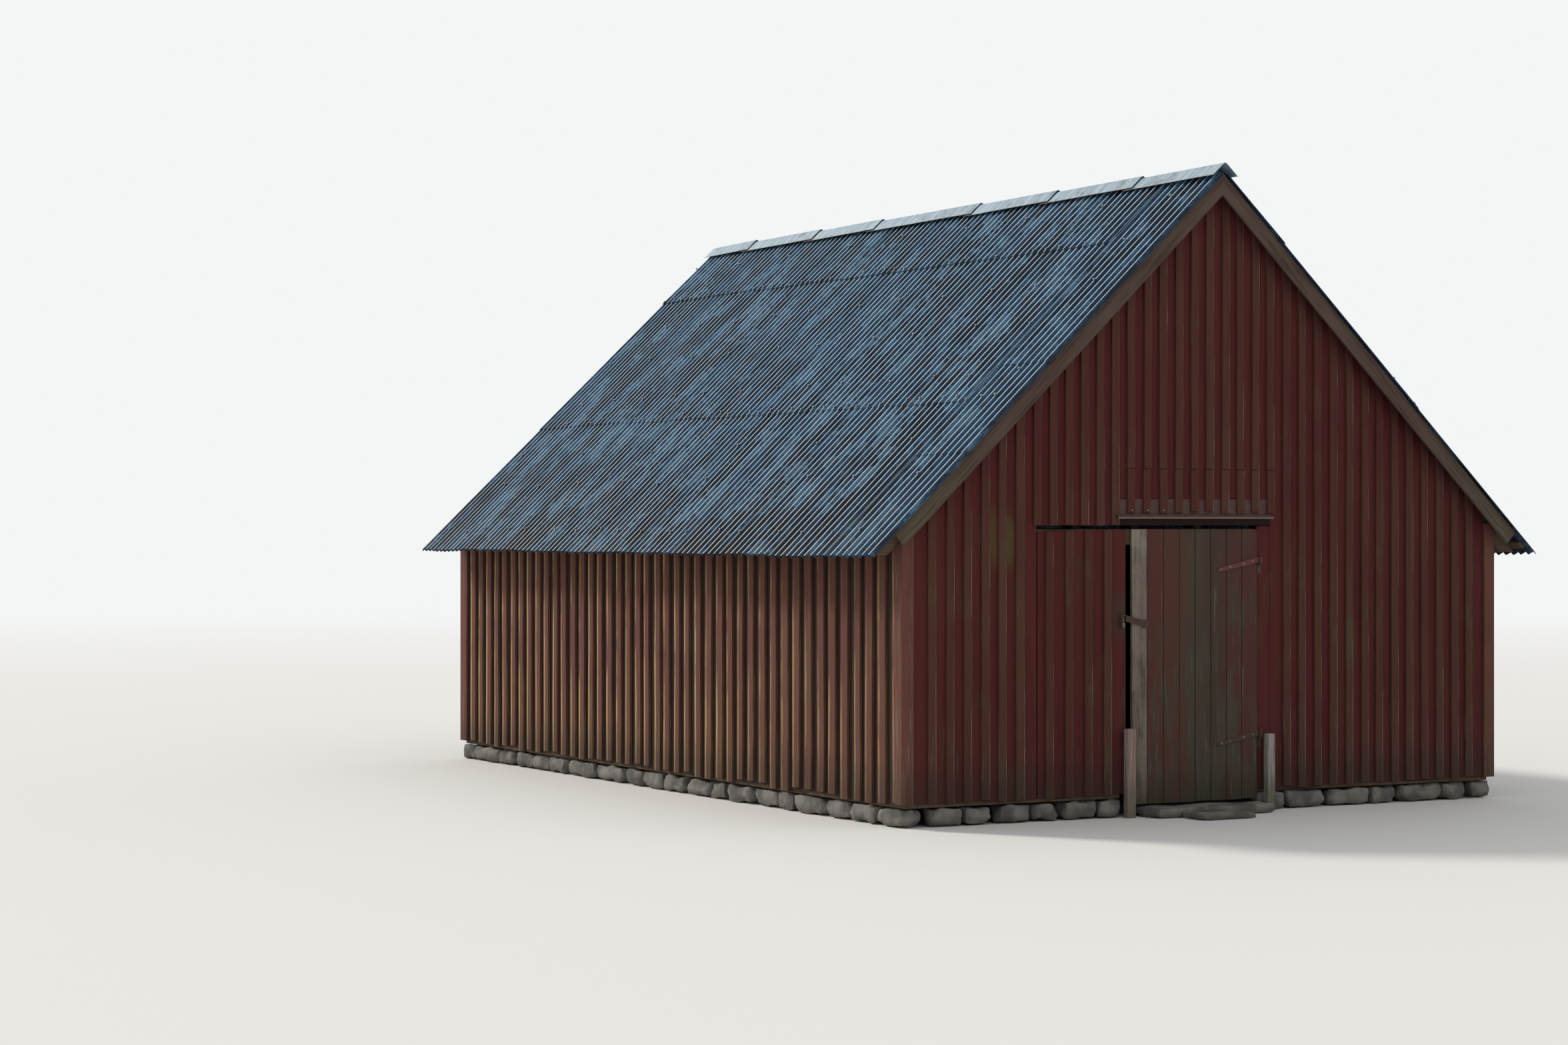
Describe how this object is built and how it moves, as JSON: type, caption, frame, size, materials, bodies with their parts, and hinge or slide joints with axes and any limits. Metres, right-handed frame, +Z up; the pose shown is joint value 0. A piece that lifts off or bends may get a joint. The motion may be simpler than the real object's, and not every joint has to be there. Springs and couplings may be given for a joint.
{
  "type": "barn",
  "caption": "Old timber barn with red board-and-batten walls, a steep gable roof of corrugated sheets, and a hinged plank door with a hasp beside a fixed panel.",
  "frame": {"origin": "at ground level, in the middle of the ground that the barn covers with its eaves and its doorstep", "axes": "+X along the door gable, to the right of someone who faces it; +Y from the door gable to the back gable, along the ridge; +Z up"},
  "size_m": [6.5876, 9.1306, 5.1855],
  "materials": {
    "field_stone": "rough grey field stone",
    "frame_timber": "aged dark softwood",
    "red_cladding": "weathered red-painted boards",
    "rake_board": "weathered board with remains of red paint",
    "door_wood": "grey weathered planks with remains of red paint",
    "post_wood": "grey weathered softwood",
    "roof_sheet": "worn dark bitumen fibre sheet",
    "ridge_sheet": "worn grey folded sheet",
    "worn_iron": "rusty wrought iron",
    "old_steel": "dull steel, spotted with rust"
  },
  "bodies": {
    "barn": {"foundation_stones": "field_stone", "door_stones": "field_stone", "side_sills": "frame_timber", "end_sills": "frame_timber", "wall_posts": "frame_timber", "gable_posts": "frame_timber", "wall_rails": "frame_timber", "wall_plates": "frame_timber", "gable_plates": "frame_timber", "tie_beams": "frame_timber", "left_rafters": "frame_timber", "right_rafters": "frame_timber", "gable_rails": "frame_timber", "left_roof_laths": "frame_timber", "right_roof_laths": "frame_timber", "left_eave_sheets": "roof_sheet", "left_middle_sheets": "roof_sheet", "left_ridge_sheets": "roof_sheet", "right_eave_sheets": "roof_sheet", "right_middle_sheets": "roof_sheet", "right_ridge_sheets": "roof_sheet", "ridge_caps": "ridge_sheet", "left_bargeboards": "rake_board", "right_bargeboards": "rake_board", "left_wall": "red_cladding", "right_wall": "red_cladding", "back_wall": "red_cladding", "front_wall_left": "red_cladding", "front_wall_right": "red_cladding", "front_wall_over_door": "red_cladding", "corner_boards": "red_cladding", "door_trim": "red_cladding", "door_drip": "worn_iron", "left_door_panel": "red_cladding", "left_door_ledges": "frame_timber", "door_pintles": "worn_iron", "staple": "worn_iron", "guard_posts": "post_wood"},
    "door_leaf": {"right_door_planks": "door_wood", "right_door_ledges": "door_wood", "upper_strap_hinge": "worn_iron", "lower_strap_hinge": "worn_iron", "hasp_plate": "worn_iron"},
    "door_hasp": {"hasp": "worn_iron", "padlock": "old_steel"}
  },
  "joints": [
    {"name": "door_hinge", "type": "hinge", "parent": "barn", "child": "door_leaf", "pos_m": [0.46, -4.03225, 1.3225], "axis": [0, 0, 1], "range_deg": [0, 105]},
    {"name": "hasp_hinge", "type": "hinge", "parent": "door_leaf", "child": "door_hasp", "pos_m": [-0.679, -4.02715, 1.522], "axis": [0.2419, 0, 0.9703], "range_deg": [0, 140]}
  ]
}
